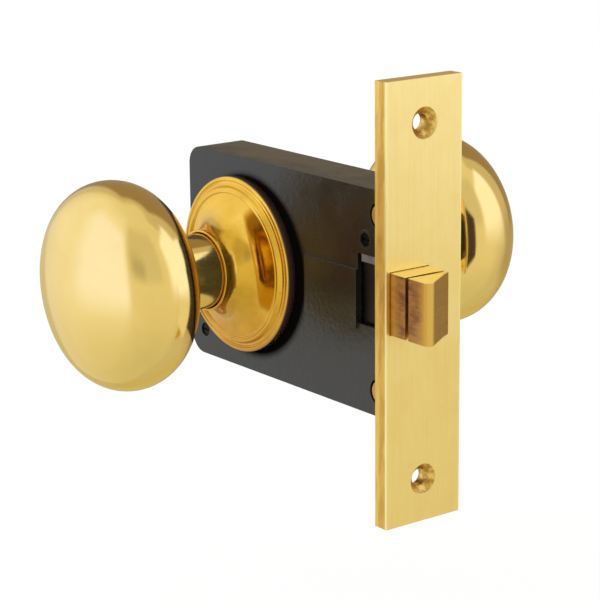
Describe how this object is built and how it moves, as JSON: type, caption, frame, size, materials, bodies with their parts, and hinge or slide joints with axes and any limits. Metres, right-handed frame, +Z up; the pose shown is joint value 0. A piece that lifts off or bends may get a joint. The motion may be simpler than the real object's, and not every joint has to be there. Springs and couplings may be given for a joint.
{
  "type": "mortise passage latch set",
  "caption": "Mortise passage latch with oval knobs: turning either knob draws the two-piece bolt back through the faceplate on the door edge",
  "frame": {"origin": "centre of the faceplate's back face, between its two screw holes, where it seats on the door edge", "axes": "+X out of the door edge along the latch bolt, Y along the spindle with the near knob at -Y, +Z up"},
  "size_m": [0.1122, 0.1467, 0.12],
  "materials": {
    "case_paint": "satin black paint",
    "plate_brass": "satin",
    "knob_brass": "polished",
    "latch_brass": "satin",
    "bright_steel": "zinc plated",
    "dark_steel": "blackened"
  },
  "bodies": {
    "case": {"case_body": "case_paint", "case_cover": "case_paint", "cover_screw_front": "dark_steel", "cover_screw_upper": "dark_steel", "cover_screw_lower": "dark_steel", "faceplate": "plate_brass", "lug_pin_upper": "bright_steel", "lug_pin_lower": "bright_steel", "latch_guide": "bright_steel", "spring_seat": "bright_steel", "latch_spring": "bright_steel", "rose_near": "knob_brass", "rose_far": "knob_brass"},
    "knobs": {"hub": "latch_brass", "spindle": "bright_steel", "knob_near": "knob_brass", "knob_far": "knob_brass", "neck_near": "knob_brass", "neck_far": "knob_brass", "set_screw_near": "dark_steel", "set_screw_far": "dark_steel"},
    "bolt": {"latch_base": "latch_brass", "tail_rod": "bright_steel", "yoke": "bright_steel", "nose_pin": "bright_steel"},
    "nose": {"latch_nose": "latch_brass"}
  },
  "joints": [
    {"name": "knob_turn", "type": "hinge", "parent": "case", "child": "knobs", "pos_m": [-0.0635, 0, 0], "axis": [0, 1, 0], "range_deg": [0, 60]},
    {"name": "bolt_slide", "type": "slide", "parent": "case", "child": "bolt", "axis": [-1, 0, 0], "range_m": [0, 0.0149], "stiffness_N_per_m": 500, "springref_m": -0.008, "deforming": ["latch_spring"]},
    {"name": "nose_pivot", "type": "hinge", "parent": "bolt", "child": "nose", "pos_m": [0.0076, -0.006, 0], "axis": [0, 0, 1], "range_deg": [0, 3], "stiffness_Nm_per_rad": 0.05, "springref_deg": -2.86}
  ],
  "couplings": [
    {"joint": "bolt_slide", "follows": "knob_turn", "m_per_rad": 0.01422}
  ]
}
